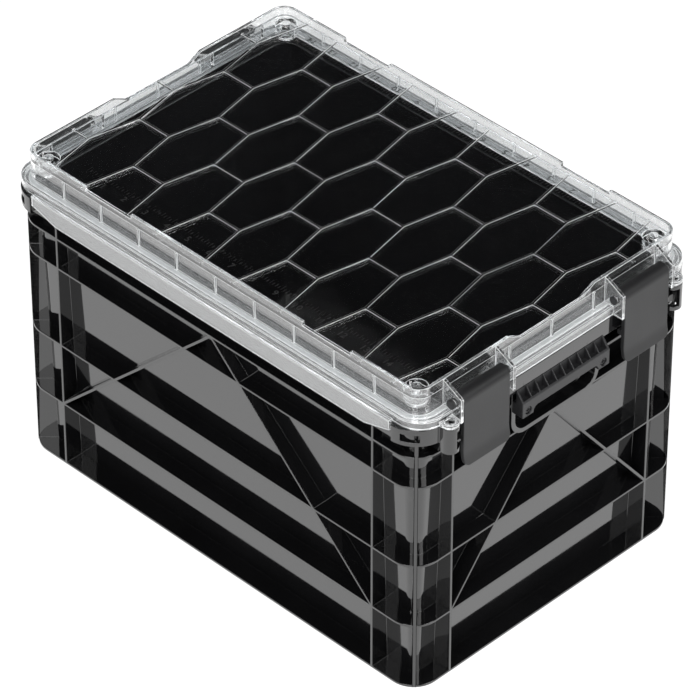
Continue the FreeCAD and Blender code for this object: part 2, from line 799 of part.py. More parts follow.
def lid_ears(body):
    """Pairs of ears: the front ones carry the latches and the rear ones the hinge pins."""
    inside = s.dome_half_length - s.lid_wall / 2
    foot = s.flange_half_length - s.flange_edge / 2
    front = ((foot, flange_under), (foot, flange_bottom),
             (s.ear_reach, flange_bottom), (s.ear_reach, s.ear_shoulder),
             (inside, s.lip_top), (inside, flange_under))
    round_tip = s.hinge_ear_radius
    rear = ((-foot, flange_under), (-inside, flange_under), (-inside, s.ear_shoulder),
            (-s.hinge_ear_reach, s.hinge_ear_shoulder),
            (-s.hinge_x - round_tip, s.hinge_z), (-s.hinge_x, s.hinge_z - round_tip),
            (-s.hinge_x + round_tip, s.hinge_z),
            (-foot, s.hinge_z))
    for near in (ear_inner, ear_outer):
        for side in END_SIGNS:
            sketch = new_sketch(body, "XZ_Plane", (near + s.ear_thickness / 2) * side)
            draw_outline(sketch, front)
            draw_outline(sketch, rear, {4: round_tip, 5: round_tip})
            add_pad(body, sketch, s.ear_thickness, both_ways=True)
    sketch = new_sketch(body, "XZ_Plane")
    draw_circle(sketch, s.latch_pivot_x, s.latch_pivot_z, pin_bore)
    draw_circle(sketch, -s.hinge_x, s.hinge_z, pin_bore)
    add_pocket(body, sketch, (ear_outer + s.ear_thickness) * 2, both_ways=True)


def lid_eyes_and_bosses(body):
    """Padlock eyes at the front and a hollow post in each corner."""
    sketch = new_sketch(body, "XY_Plane", flange_bottom)
    draw_eyes(sketch, s.flange_half_length - s.flange_edge / 2)
    add_pad(body, sketch, s.eye_plate)
    sketch = new_sketch(body, "XY_Plane", flange_bottom + s.eye_plate)
    for side in END_SIGNS:
        draw_circle(sketch, s.eye_x, s.eye_y * side, s.eye_hole_radius)
    add_pocket(body, sketch, s.eye_plate)
    corners = [(s.boss_x * sign_x, s.boss_y * sign_y) for sign_x in END_SIGNS for sign_y in END_SIGNS]
    sketch = new_sketch(body, "XY_Plane", s.boss_bottom)
    for x, y in corners:
        draw_circle(sketch, x, y, s.boss_radius)
    add_pad(body, sketch, s.panel_top - s.boss_bottom)
    sketch = new_sketch(body, "XY_Plane", s.panel_top)
    for x, y in corners:
        draw_circle(sketch, x, y, s.boss_hole_radius)
    add_pocket(body, sketch, s.panel_top - s.boss_bottom)


def make_lid():
    body = new_body("lid_shell")
    lid_flange(body)
    lid_dome(body)
    lid_notches(body)
    lid_ears(body)
    lid_eyes_and_bosses(body)
    lid_honeycomb(body)
    return body


def make_gasket():
    """A flat seal over the tub's tongue, in the lid's channel."""
    body = new_body("lid_gasket")
    spare = (s.gasket_width - s.tongue_thickness) / 2
    sketch = new_sketch(body, "XY_Plane", s.rim_top + s.tongue_height + s.gasket_gap)
    for inset in (-spare, s.gasket_width - spare):
        draw_centred_box(
            sketch, s.tongue_half_length - inset, s.tongue_half_width - inset, s.tongue_corner_radius - inset)
    add_pad(body, sketch, s.gasket_height)
    return body


# Latches

def make_latch(label, side):
    """A lever that hangs from its roll over the rim.

    It has a hook for the rim's lower edge and a tail for a thumb.
    """
    body = new_body(label)
    turn = math.radians(ROLL_TURN)
    x = s.latch_pivot_x
    z = s.latch_pivot_z
    roll = s.latch_roll_radius
    back = latch_face - s.latch_plate
    middle_out = s.latch_curve_out
    tail_out = s.latch_tail_out
    sketch = new_sketch(body, "XZ_Plane")
    quarter = roll * math.sqrt(0.5)
    draw_outline(sketch, (
        (x, z), (back, z - s.latch_plate), (back, s.latch_curve_top),
        (back + middle_out, s.latch_curve_middle),
        (back + tail_out, s.latch_bottom), (latch_face + tail_out, s.latch_bottom),
        (latch_face + middle_out, s.latch_curve_middle), (latch_face, s.latch_curve_top), (latch_face, z),
        (x + quarter, z + quarter), (x + roll * math.cos(turn), z + roll * math.sin(turn)),
    ), {8: roll, 9: roll})
    add_pad(body, sketch, s.station_width, both_ways=True)
    sketch = new_sketch(body, "XZ_Plane")
    draw_circle(sketch, x, z, s.latch_hub_radius)
    add_pad(body, sketch, s.station_width, both_ways=True)
    sketch = new_sketch(body, "XZ_Plane")
    tip = rim_half_length + s.hook_clear
    high = rim_bottom - s.hook_drop
    draw_box(sketch, tip, back + s.latch_plate / 2, high - s.hook_height, high)
    add_pad(body, sketch, s.station_width, both_ways=True)
    sketch = new_sketch(body, "XZ_Plane")
    draw_circle(sketch, x, z, pin_bore)
    add_pocket(body, sketch, s.station_width, both_ways=True)
    round_low_corners(body, s.latch_bottom, s.latch_corner_radius)
    set_place(body, 0, s.station_y * side, 0)
    return body


def pin_span():
    """From the inner face of one ear to the outer face of the other."""
    return s.station_width + (s.ear_gap + s.ear_thickness) * 2


def make_pin(label, x, z, side):
    """A headed pin through two ears, its head on the side nearer the middle of the crate."""
    body = new_body(label)
    reach = pin_span() / 2
    sketch = new_sketch(body, "XZ_Plane", -reach)
    draw_circle(sketch, 0, 0, s.pin_radius)
    add_pad(body, sketch, pin_span() + s.pin_cap_depth)
    sketch = new_sketch(body, "XZ_Plane", -reach)
    draw_circle(sketch, 0, 0, s.pin_head_radius)
    add_pad(body, sketch, s.pin_head_height, back=True)
    set_place(body, x, s.station_y * side, z, ((0, 0, 1), 0 if side < 0 else 180))
    return body


def make_caps(label, x, z):
    """Push-on caps on the outer ends of the two pins on one axis."""
    caps = []
    for number, side in enumerate(END_SIGNS):
        end = (s.station_y + pin_span() / 2) * side
        turn = ((1, 0, 0), -90 * side)
        outer = rod("%s_outer_%d" % (label, number), s.pin_cap_radius, s.pin_cap_height, x, end, z, turn)
        bore = rod(
            "%s_bore_%d" % (label, number), pin_bore, s.pin_cap_depth + s.pin_clearance, x, end, z, turn)
        cap = doc.addObject("Part::Cut", "%s_%d" % (label, number))
        cap.Base = outer
        cap.Tool = bore
        caps.append(cap)
    group = doc.addObject("Part::Compound", label)
    group.Label = label
    group.Links = caps
    return group


# Hinge

def make_hinge_block(label, side):
    """A block on the rear rim whose knuckle turns on the pin between two lid ears."""
    body = new_body(label)
    reach = hinge_block_reach
    sketch = new_sketch(body, "XZ_Plane")
    neck = s.knuckle_radius - s.hinge_x
    draw_outline(sketch, (
        (-reach, s.hinge_block_bottom), (-rim_half_length, s.hinge_block_bottom),
        (-rim_half_length, s.rim_top - s.hinge_block_drop),
        (neck, flange_bottom), (neck, s.hinge_z), (-reach, s.hinge_z),
    ))
    add_pad(body, sketch, s.station_width, both_ways=True)
    sketch = new_sketch(body, "XZ_Plane")
    draw_circle(sketch, -s.hinge_x, s.hinge_z, s.knuckle_radius)
    add_pad(body, sketch, s.station_width, both_ways=True)
    sketch = new_sketch(body, "XZ_Plane")
    draw_circle(sketch, -s.hinge_x, s.hinge_z, pin_bore)
    add_pocket(body, sketch, s.station_width, both_ways=True)
    head_bore = s.screw_head_radius + s.screw_clearance
    for radius, depth in ((head_bore, s.hinge_sink), (screw_bore, reach - rim_half_length)):
        sketch = new_sketch(body, "YZ_Plane", -reach)
        for across in END_SIGNS:
            draw_circle(sketch, s.hinge_screw_spread * across, s.hinge_screw_z, radius)
        add_pocket(body, sketch, depth, back=True)
    set_place(body, 0, s.station_y * side, 0)
    return body


# Build every sub-part, test it and write it

def build():
    nodes = [make_tub(), make_handle("front_handle", False), make_handle("rear_handle", True)]
    handle_places = [(s.handle_screw_y * side, s.handle_screw_z) for side in END_SIGNS]
    nodes.append(make_screws("front_handle_screws", handle_screw_seat, handle_places, 1))
    nodes.append(make_screws("rear_handle_screws", handle_screw_seat, handle_places, -1))
    nodes.append(make_lid())
    nodes.append(make_gasket())
    for name, side in (("left", -1), ("right", 1)):
        nodes.append(make_latch("latch_" + name, side))
        nodes.append(make_pin("latch_pin_" + name, s.latch_pivot_x, s.latch_pivot_z, side))
        nodes.append(make_hinge_block("hinge_block_" + name, side))
        nodes.append(make_pin("hinge_pin_" + name, -s.hinge_x, s.hinge_z, side))
        places = [
            (s.station_y * side + s.hinge_screw_spread * across, s.hinge_screw_z)
            for across in END_SIGNS
        ]
        nodes.append(make_screws("hinge_screws_" + name, hinge_screw_seat, places, -1))
    nodes.append(make_caps("latch_pin_caps", s.latch_pivot_x, s.latch_pivot_z))
    nodes.append(make_caps("hinge_pin_caps", -s.hinge_x, s.hinge_z))
    return nodes


def write(nodes):
    doc.recompute()
    for item in doc.Objects:
        if "Invalid" in item.State or "Error" in item.State:
            raise ValueError("%s failed: %s" % (item.Label, item.State))
    for node in nodes:
        if node.Shape.isNull() or not node.Shape.isValid():
            raise ValueError("%s has no valid shape" % node.Label)
    os.makedirs("parts", exist_ok=True)
    for node in nodes:
        node.Shape.exportStep("parts/%s.step" % node.Label)
        box = node.Shape.BoundBox
        print("%-22s solids %d  volume %10.1f  x %.1f %.1f  y %.1f %.1f  z %.1f %.1f" % (
            node.Label, len(node.Shape.Solids), node.Shape.Volume,
            box.XMin, box.XMax, box.YMin, box.YMax, box.ZMin, box.ZMax))


write(build())
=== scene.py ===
import math

import bpy
from mathutils import Matrix, Vector


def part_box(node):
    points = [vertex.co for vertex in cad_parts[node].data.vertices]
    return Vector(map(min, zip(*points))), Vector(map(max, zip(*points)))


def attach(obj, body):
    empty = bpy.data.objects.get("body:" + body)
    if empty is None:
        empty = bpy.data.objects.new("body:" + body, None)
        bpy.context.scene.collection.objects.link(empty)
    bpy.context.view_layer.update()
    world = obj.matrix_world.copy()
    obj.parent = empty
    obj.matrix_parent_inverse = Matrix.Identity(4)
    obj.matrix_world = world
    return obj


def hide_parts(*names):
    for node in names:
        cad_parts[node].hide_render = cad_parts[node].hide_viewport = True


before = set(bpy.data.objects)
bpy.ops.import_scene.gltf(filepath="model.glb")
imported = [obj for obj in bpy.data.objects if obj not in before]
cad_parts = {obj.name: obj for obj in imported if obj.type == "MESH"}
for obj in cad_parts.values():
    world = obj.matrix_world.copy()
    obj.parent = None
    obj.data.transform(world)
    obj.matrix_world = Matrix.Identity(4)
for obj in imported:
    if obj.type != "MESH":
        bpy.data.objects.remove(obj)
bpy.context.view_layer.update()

bl_info = {
    "name": "Storage crate",
    "version": (1, 0, 0),
    "blender": (4, 5, 0),
    "location": "View3D > Sidebar > Crate",
    "description": "Dresses a ribbed storage crate with a clear hinged lid",
    "category": "Object",
}

# Corners closer than this are joined, and faces flatter than this are one face
MERGE_DISTANCE = 0.000002
FLAT_ANGLE = math.radians(0.3)

# Edges sharper than these are rounded, on mouldings and on turned pieces
MOULDED_ANGLE = math.radians(28.0)
TURNED_ANGLE = math.radians(40.0)

# Shading is smooth across edges up to this angle, and large faces lead it by this weight
SMOOTH_ANGLE = math.radians(60.0)
LARGE_FACE_WEIGHT = 100

# Places of the lid's finishes in its list of materials; the edge finish is a painted highlight on the
# rounded edges
PANEL, WALLS, PAINTED_EDGE_HIGHLIGHT, FLANGE = range(4)

# Moulded finishes, each with the name of its colour
MOULDED = {
    "tub_gloss": (
        "tub_black", dict(smooth=0.04, rough=0.10, grain=700.0, bump=0.02, specular=0.9, coat=0.6)),
    "latch_satin": (
        "latch_black", dict(smooth=0.34, rough=0.46, grain=1600.0, bump=0.25, specular=0.5, coat=0.0)),
    "handle_satin": (
        "handle_grey", dict(smooth=0.32, rough=0.44, grain=1600.0, bump=0.25, specular=0.5, coat=0.0)),
    "seal_soft": (
        "seal_pale", dict(smooth=0.55, rough=0.7, grain=1200.0, bump=0.3, specular=0.4, coat=0.0)),
    "ruler_frost": (
        "mark_grey", dict(smooth=0.5, rough=0.65, grain=1800.0, bump=0.3, specular=0.4, coat=0.0)),
}

# Clear finishes of the lid
CLEAR = {
    "clear_panel": dict(clearness=1.0, gloss=0.0),
    "clear_walls": dict(clearness=0.98, gloss=1.0),
    # Nearly opaque milky strips on the lid's rounded edges: a painted highlight
    "clear_edges": dict(clearness=0.05, gloss=0.0),
    "clear_flange": dict(clearness=0.8, gloss=0.5),
}


# Sizes and colours that a user would change

class CrateSizes(bpy.types.PropertyGroup):
    """Sizes of the crate's finer shapes"""
    tub_edge: bpy.props.FloatProperty(
        name="Tub edge", description="Rounding of the tub's edges", default=0.0005, unit="LENGTH")
    lid_edge: bpy.props.FloatProperty(
        name="Lid edge", description="Rounding of the lid's edges", default=0.0003, unit="LENGTH")
    latch_edge: bpy.props.FloatProperty(
        name="Latch edge", description="Rounding of the latches, handles and hinge blocks",
        default=0.0007, unit="LENGTH")
    vent_back: bpy.props.FloatProperty(
        name="Vent back", description="Thickness of the plate behind a handle's vents",
        default=0.0004, unit="LENGTH")
    vent_margin: bpy.props.FloatProperty(
        name="Vent margin", description="Distance from that plate to a handle's ends",
        default=0.0018, unit="LENGTH")
    seal_edge: bpy.props.FloatProperty(
        name="Seal edge", description="Rounding of the soft seal", default=0.0006, unit="LENGTH")
    metal_edge: bpy.props.FloatProperty(
        name="Metal edge", description="Rounding of pins, caps and screws", default=0.0005, unit="LENGTH")
    recess_width: bpy.props.FloatProperty(
        name="Recess width", description="Width of one arm of a screw's cross recess",
        default=0.0009, unit="LENGTH")
    recess_span: bpy.props.FloatProperty(
        name="Recess span", description="Length of one arm of a screw's cross recess",
        default=0.0042, unit="LENGTH")
    recess_depth: bpy.props.FloatProperty(
        name="Recess depth", description="Depth of a screw's cross recess", default=0.0012, unit="LENGTH")
    ruler_pitch: bpy.props.FloatProperty(
        name="Ruler pitch", description="Distance between two numerals", default=0.0254, unit="LENGTH")
    ruler_start: bpy.props.FloatProperty(
        name="Ruler start", description="Place of the ruler's zero along the lid",
        default=-0.1772, unit="LENGTH")
    ruler_row: bpy.props.FloatProperty(
        name="Ruler row", description="How far the numerals stand from the lid's middle",
        default=0.1346, unit="LENGTH")
    ruler_height: bpy.props.FloatProperty(
        name="Numeral height", description="Height of a numeral", default=0.0062, unit="LENGTH")
    mark_rise: bpy.props.FloatProperty(
        name="Mark rise", description="How far the ruler's marks stand up from the panel",
        default=0.0002, unit="LENGTH")
    panel_top: bpy.props.FloatProperty(
        name="Panel top", description="Height of the lid's flat panel, below its ribs and lip",
        default=0.3025, unit="LENGTH")
    flange_top: bpy.props.FloatProperty(
        name="Flange top", description="Height of the lid's flange", default=0.284, unit="LENGTH")


class CrateColours(bpy.types.PropertyGroup):
    """Colours of the crate's finishes"""
    tub_black: bpy.props.FloatVectorProperty(
        name="Tub", description="Glossy black of the tub",
        subtype="COLOR", size=3, default=(0.006, 0.006, 0.0065))
    latch_black: bpy.props.FloatVectorProperty(
        name="Latch", description="Satin black of latches and hinge blocks",
        subtype="COLOR", size=3, default=(0.019, 0.019, 0.020))
    handle_grey: bpy.props.FloatVectorProperty(
        name="Handle", description="Satin dark grey of the handles",
        subtype="COLOR", size=3, default=(0.023, 0.023, 0.0245))
    lid_tint: bpy.props.FloatVectorProperty(
        name="Lid", description="Tint of the clear lid",
        subtype="COLOR", size=3, default=(0.97, 0.98, 0.985))
    seal_pale: bpy.props.FloatVectorProperty(
        name="Seal", description="Pale grey of the soft seal",
        subtype="COLOR", size=3, default=(0.72, 0.73, 0.73))
    steel: bpy.props.FloatVectorProperty(
        name="Steel", description="Blackened steel of pins and screws",
        subtype="COLOR", size=3, default=(0.06, 0.06, 0.062))
    mark_grey: bpy.props.FloatVectorProperty(
        name="Ruler marks", description="Frosted grey of the ruler",
        subtype="COLOR", size=3, default=(0.03, 0.03, 0.03))
    floor_white: bpy.props.FloatVectorProperty(
        name="Floor", description="Pale floor", subtype="COLOR", size=3, default=(1.0, 1.0, 1.0))


class CrateStudio(bpy.types.PropertyGroup):
    """Camera's place and lens"""
    azimuth: bpy.props.FloatProperty(
        name="Azimuth", description="Camera's turn from the long side",
        default=math.radians(44.99), subtype="ANGLE")
    elevation: bpy.props.FloatProperty(
        name="Elevation", description="Camera's height above the horizon",
        default=math.radians(38.42), subtype="ANGLE")
    distance: bpy.props.FloatProperty(
        name="Distance", description="Camera's distance from its aim", default=4.2742, unit="LENGTH")
    aim: bpy.props.FloatVectorProperty(
        name="Aim", description="Point that the camera looks at", size=3, subtype="XYZ", unit="LENGTH",
        default=(0.00449, -0.00248, 0.14373))
    lens: bpy.props.FloatProperty(
        name="Lens", description="Focal length in millimetres on a 36 mm sensor", default=261.12)


# Shaping the pieces

def pick(*objects):
    """Selects these objects alone, with the first one active."""
    bpy.ops.object.select_all(action="DESELECT")
    for item in objects:
        item.select_set(True)
    bpy.context.view_layer.objects.active = objects[0]


def copy_of(node, name):
    """A piece that starts as a copy of a solid, with its corners joined and its flat faces whole."""
    piece = bpy.data.objects.new(name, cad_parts[node].data.copy())
    piece.data.name = name
    piece.data.materials.clear()
    bpy.context.scene.collection.objects.link(piece)
    pick(piece)
    bpy.ops.object.mode_set(mode="EDIT")
    bpy.ops.mesh.select_all(action="SELECT")
    bpy.ops.mesh.remove_doubles(threshold=MERGE_DISTANCE)
    bpy.ops.mesh.dissolve_limited(angle_limit=FLAT_ANGLE)
    bpy.ops.object.mode_set(mode="OBJECT")
    return piece


def round_edges(piece, width, segments=2, angle=MOULDED_ANGLE, edge_finish=-1):
    """Rounds every edge that is sharper than the angle and keeps the flat faces flat to the light."""
    pick(piece)
    bevel = piece.modifiers.new("rounding", "BEVEL")
    bevel.width = width
    bevel.segments = segments
    bevel.limit_method = "ANGLE"
    bevel.angle_limit = angle
    bevel.use_clamp_overlap = False
    bevel.material = edge_finish
    bpy.ops.object.modifier_apply(modifier=bevel.name)
    bpy.ops.object.shade_smooth_by_angle(angle=SMOOTH_ANGLE)
    even = piece.modifiers.new("even_light", "WEIGHTED_NORMAL")
    even.weight = LARGE_FACE_WEIGHT
    even.keep_sharp = True
    bpy.ops.object.modifier_apply(modifier=even.name)


def cut(piece, cutters):
    """Takes the cutters out of a piece and removes them."""
    pick(piece)
    for cutter in cutters:
        boolean = piece.modifiers.new("recess", "BOOLEAN")
        boolean.operation = "DIFFERENCE"
        boolean.solver = "EXACT"
        boolean.object = cutter
        bpy.ops.object.modifier_apply(modifier=boolean.name)
    for cutter in cutters:
        bpy.data.objects.remove(cutter)


def dress(piece, body, slot, material, *nodes):
    """Gives a piece its finish and its body, and hides the solids that it stands for."""
    piece.data.materials.clear()
    piece.data.materials.append(material)
    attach(piece, body)
    if nodes:
        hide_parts(*nodes)


def block(name, low, high):
    """A box between two corners, with its place in its mesh."""
    bpy.ops.object.select_all(action="DESELECT")
    middle = [(a + b) / 2 for a, b in zip(low, high)]
    bpy.ops.mesh.primitive_cube_add(size=1, location=middle)
    piece = bpy.context.active_object
    piece.name = name
    piece.scale = [b - a for a, b in zip(low, high)]
    bpy.ops.object.transform_apply(location=True, rotation=True, scale=True)
    return piece


# Finishes

def shader_group(name, inputs, outputs):
    """An empty node group with named number inputs and outputs."""
    group = bpy.data.node_groups.new(name, "ShaderNodeTree")
    for label, default in inputs:
        socket = group.interface.new_socket(label, in_out="INPUT", socket_type="NodeSocketFloat")
        socket.default_value = default
    for label in outputs:
        group.interface.new_socket(label, in_out="OUTPUT", socket_type="NodeSocketFloat")
    return group, group.nodes.new("NodeGroupInput"), group.nodes.new("NodeGroupOutput")


def noise(tree, vector, scale, detail, roughness=0.5):
    """A noise pattern. Its scale may be a number or a socket."""
    node = tree.nodes.new("ShaderNodeTexNoise")
    node.inputs["Detail"].default_value = detail
    node.inputs["Roughness"].default_value = roughness
    if isinstance(scale, (int, float)):
        node.inputs["Scale"].default_value = scale
    else:
        tree.links.new(scale, node.inputs["Scale"])
    tree.links.new(vector, node.inputs["Vector"])
    return node.outputs["Fac"]


def spread(tree, value, low, high, to_low=0.0, to_high=1.0):
    """Maps a value from one range to another. A bound may be a number or a socket."""
    node = tree.nodes.new("ShaderNodeMapRange")
    tree.links.new(value, node.inputs["Value"])
    for label, bound in (("From Min", low), ("From Max", high), ("To Min", to_low), ("To Max", to_high)):
        if isinstance(bound, (int, float)):
            node.inputs[label].default_value = bound
        else:
            tree.links.new(bound, node.inputs[label])
    return node.outputs["Result"]


def make_moulding_group():
    """Fine moulded grain and broad smudges from handling, on Object coordinates."""
    group, come, go = shader_group(
        "moulded_surface",
        (("Grain Scale", 900.0), ("Smooth", 0.1), ("Rough", 0.2)),
        ("Roughness", "Height", "Shade"))
    place = group.nodes.new("ShaderNodeTexCoord").outputs["Object"]
    grain = noise(group, place, scale=come.outputs["Grain Scale"], detail=3.0)
    smudge = noise(group, place, scale=14.0, detail=5.0, roughness=0.62)
    smooth, rough = come.outputs["Smooth"], come.outputs["Rough"]
    wear = spread(group, smudge, low=0.35, high=0.68, to_low=smooth, to_high=rough)
    group.links.new(wear, go.inputs["Roughness"])
    group.links.new(grain, go.inputs["Height"])
    group.links.new(spread(group, smudge, low=0.3, high=0.7), go.inputs["Shade"])
    return group


def make_scratch_group():
    """Hair-thin scratches that run mostly along the crate."""
    group, come, go = shader_group("fine_scratches", (("Amount", 0.3),), ("Mask",))
    place = group.nodes.new("ShaderNodeTexCoord").outputs["Object"]
    lean = group.nodes.new("ShaderNodeMapping")
    lean.inputs["Rotation"].default_value = (0.2, 0.1, 0.35)
    lean.inputs["Scale"].default_value = (9.0, 420.0, 420.0)
    group.links.new(place, lean.inputs["Vector"])
    streaks = noise(group, lean.outputs["Vector"], scale=1.0, detail=2.0)
    lines = spread(group, streaks, low=0.66, high=0.72)
    scale = group.nodes.new("ShaderNodeMath")
    scale.operation = "MULTIPLY"
    group.links.new(lines, scale.inputs[0])
    group.links.new(come.outputs["Amount"], scale.inputs[1])
    group.links.new(scale.outputs[0], go.inputs["Mask"])
    return group


def new_finish(name):
    """A material with its nodes and its shader."""
    material = bpy.data.materials.new(name)
    material.use_nodes = True
    tree = material.node_tree
    return material, tree, tree.nodes["Principled BSDF"]


def use_group(tree, group, **values):
    """Places a node group with its own values."""
    node = tree.nodes.new("ShaderNodeGroup")
    node.node_tree = group
    for label, value in values.items():
        node.inputs[label.replace("_", " ")].default_value = value
    return node


def add_bump(tree, shader, height, strength, distance):
    """Roughens a shader's normal by a height."""
    bump = tree.nodes.new("ShaderNodeBump")
    bump.inputs["Strength"].default_value = strength
    bump.inputs["Distance"].default_value = distance
    tree.links.new(height, bump.inputs["Height"])
    tree.links.new(bump.outputs["Normal"], shader.inputs["Normal"])


def mix_colours(tree, mask, first, second):
    """A colour that goes from the first to the second by a mask."""
    mix = tree.nodes.new("ShaderNodeMix")
    mix.data_type = "RGBA"
    tree.links.new(mask, mix.inputs["Factor"])
    mix.inputs["A"].default_value = (*first, 1.0)
    mix.inputs["B"].default_value = (*second, 1.0)
    return mix.outputs["Result"]


def moulded_finish(name, groups, colour, smooth, rough, grain, bump, specular, coat):
    """A moulded plastic with smudges, grain and a few scratches."""
    material, tree, shader = new_finish(name)
    surface = use_group(tree, groups["moulding"], Grain_Scale=grain, Smooth=smooth, Rough=rough)
    scratch = use_group(tree, groups["scratch"], Amount=0.5)
    wear_share, wear_lift = 1.5, 0.004
    smudge_share = 0.35
    paler = [min(1.0, channel * wear_share + wear_lift) for channel in colour]
    shade = tree.nodes.new("ShaderNodeMath")
    shade.operation = "MULTIPLY_ADD"
    shade.inputs[1].default_value = smudge_share
    tree.links.new(surface.outputs["Shade"], shade.inputs[0])
    tree.links.new(scratch.outputs["Mask"], shade.inputs[2])
    tree.links.new(mix_colours(tree, shade.outputs[0], colour, paler), shader.inputs["Base Color"])
    tree.links.new(surface.outputs["Roughness"], shader.inputs["Roughness"])
    shader.inputs["Specular IOR Level"].default_value = specular
    shader.inputs["Coat Weight"].default_value = coat
    shader.inputs["Coat Roughness"].default_value = 0.04
    add_bump(tree, shader, surface.outputs["Height"], strength=bump, distance=0.0002)
    return material


def clear_finish(name, groups, tint, clearness, gloss):
    """Clear moulded plastic with faint marks. Less clearness makes it milky, and gloss mirrors more."""
    material, tree, shader = new_finish(name)
    surface = use_group(tree, groups["moulding"], Grain_Scale=60.0, Smooth=0.0, Rough=0.035)
    shader.inputs["Base Color"].default_value = (*tint, 1.0)
    shader.inputs["Transmission Weight"].default_value = clearness
    shader.inputs["IOR"].default_value = 1.56
    shader.inputs["Coat Weight"].default_value = gloss
    shader.inputs["Coat IOR"].default_value = 1.8
    shader.inputs["Coat Roughness"].default_value = 0.02
    tree.links.new(surface.outputs["Roughness"], shader.inputs["Roughness"])
    add_bump(tree, shader, surface.outputs["Height"], strength=0.003, distance=0.0002)
    let_light_through(tree, shader, tint)
    return material


def let_light_through(tree, shader, tint):
    """Lets the lamps shine through a clear wall, so that it throws hardly any shadow."""
    path = tree.nodes.new("ShaderNodeLightPath")
    clear = tree.nodes.new("ShaderNodeBsdfTransparent")
    clear.inputs["Color"].default_value = (*tint, 1.0)
    mix = tree.nodes.new("ShaderNodeMixShader")
    tree.links.new(path.outputs["Is Shadow Ray"], mix.inputs["Fac"])
    tree.links.new(shader.outputs["BSDF"], mix.inputs[1])
    tree.links.new(clear.outputs["BSDF"], mix.inputs[2])
    tree.links.new(mix.outputs["Shader"], tree.nodes["Material Output"].inputs["Surface"])


def metal_finish(name, groups, colour):
    """Blackened steel with a fine grain."""
    material, tree, shader = new_finish(name)
    surface = use_group(tree, groups["moulding"], Grain_Scale=2500.0, Smooth=0.22, Rough=0.38)
    shader.inputs["Base Color"].default_value = (*colour, 1.0)
    shader.inputs["Metallic"].default_value = 1.0
    tree.links.new(surface.outputs["Roughness"], shader.inputs["Roughness"])
    add_bump(tree, shader, surface.outputs["Height"], strength=0.15, distance=0.0001)
    return material


def finish(name):
    """A finish by name, made when it is first used."""
    made = bpy.data.materials.get(name)
    if made:
        return made
    groups = {
        "moulding": bpy.data.node_groups.get("moulded_surface") or make_moulding_group(),
        "scratch": bpy.data.node_groups.get("fine_scratches") or make_scratch_group(),
    }
    colours = bpy.context.scene.crate_colours
    if name in MOULDED:
        colour, values = MOULDED[name]
        return moulded_finish(name, groups, getattr(colours, colour), **values)
    if name in CLEAR:
        return clear_finish(name, groups, colours.lid_tint, **CLEAR[name])
    return metal_finish(name, groups, colours.steel)


# The crate's pieces

class CRATE_OT_tub(bpy.types.Operator):
    """Rounds the edges of the ribbed tub and gives it its gloss"""
    bl_idname = "crate.tub"
    bl_label = "Tub"

    def execute(self, context):
        piece = copy_of("crate_tub", "tub_moulding")
        round_edges(piece, context.scene.crate_sizes.tub_edge)
        dress(piece, "tub", "tub_plastic", finish("tub_gloss"), "crate_tub")
        return {"FINISHED"}


class CRATE_OT_handles(bpy.types.Operator):
    """Rounds the two vented handles and backs their vents"""
    bl_idname = "crate.handles"
    bl_label = "Handles"

    def execute(self, context):
        sizes = context.scene.crate_sizes
        for node in ("front_handle", "rear_handle"):
            piece = copy_of(node, node + "_moulding")
            round_edges(piece, sizes.latch_edge)
            pick(piece, self.vent_back(sizes, node))
            bpy.ops.object.join()
            dress(piece, "tub", "handle_plastic", finish("handle_satin"), node)
        return {"FINISHED"}

    def vent_back(self, sizes, node):
        """A thin plate behind the vents, just clear of the tub's rim and under the handle's top."""
        clear_share = 0.25
        low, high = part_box(node)
        rim = -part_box("crate_tub")[0][0]
        near, far = rim + sizes.vent_back * clear_share, rim + sizes.vent_back
        x_low, x_high = (near, far) if high[0] > 0 else (-far, -near)
        return block(
            node + "_vent_back",
            (x_low, low[1] + sizes.vent_margin, (low[2] + high[2]) / 2),
            (x_high, high[1] - sizes.vent_margin, high[2] - 2 * sizes.vent_back))


class CRATE_OT_lid(bpy.types.Operator):
    """Rounds the edges of the clear lid and gives them a milky finish as a painted highlight, and makes
    its flange a little milky
    """
    bl_idname = "crate.lid"
    bl_label = "Lid"

    def execute(self, context):
        sizes = context.scene.crate_sizes
        piece = copy_of("lid_shell", "lid_moulding")
        dress(piece, "lid", "lid_clear", finish("clear_panel"), "lid_shell")
        for name in ("clear_walls", "clear_edges", "clear_flange"):
            piece.data.materials.append(finish(name))
        for face in piece.data.polygons:
            face.material_index = self.finish_number(sizes, face)
        # The rounded edges take the milky edge finish, a painted highlight
        round_edges(piece, sizes.lid_edge, edge_finish=PAINTED_EDGE_HIGHLIGHT)
        self.clear_rib_feet(sizes, piece)
        return {"FINISHED"}

    def finish_number(self, sizes, face):
        """The level faces of the flange, those of the panel and ribs, and the walls each have a finish."""
        level_share = 0.9
        if abs(face.normal.z) <= level_share:
            return WALLS
        return FLANGE if face.center.z < sizes.flange_top + sizes.lid_edge else PANEL

    def clear_rib_feet(self, sizes, piece):
        """Keeps the panel clear where the ribs meet it, so that the painted highlight stays on the ribs'
        top edges alone.
        """
        foot_share = 1.5
        for face in piece.data.polygons:
            if abs(face.center.z - sizes.panel_top) < sizes.lid_edge * foot_share:
                face.material_index = PANEL


class CRATE_OT_seal(bpy.types.Operator):
    """Rounds the soft seal in the lid's channel"""
    bl_idname = "crate.seal"
    bl_label = "Seal"

    def execute(self, context):
        piece = copy_of("lid_gasket", "lid_seal")
        round_edges(piece, context.scene.crate_sizes.seal_edge, segments=4)
        dress(piece, "lid", "seal_rubber", finish("seal_soft"), "lid_gasket")
        return {"FINISHED"}


class CRATE_OT_latches(bpy.types.Operator):
    """Rounds the two latch levers"""
    bl_idname = "crate.latches"
    bl_label = "Latches"

    def execute(self, context):
        for side in ("left", "right"):
            node = "latch_" + side
            piece = copy_of(node, node + "_lever")
            round_edges(piece, context.scene.crate_sizes.latch_edge, segments=3)
            dress(piece, node + "_lever", "latch_plastic", finish("latch_satin"), node)
        return {"FINISHED"}


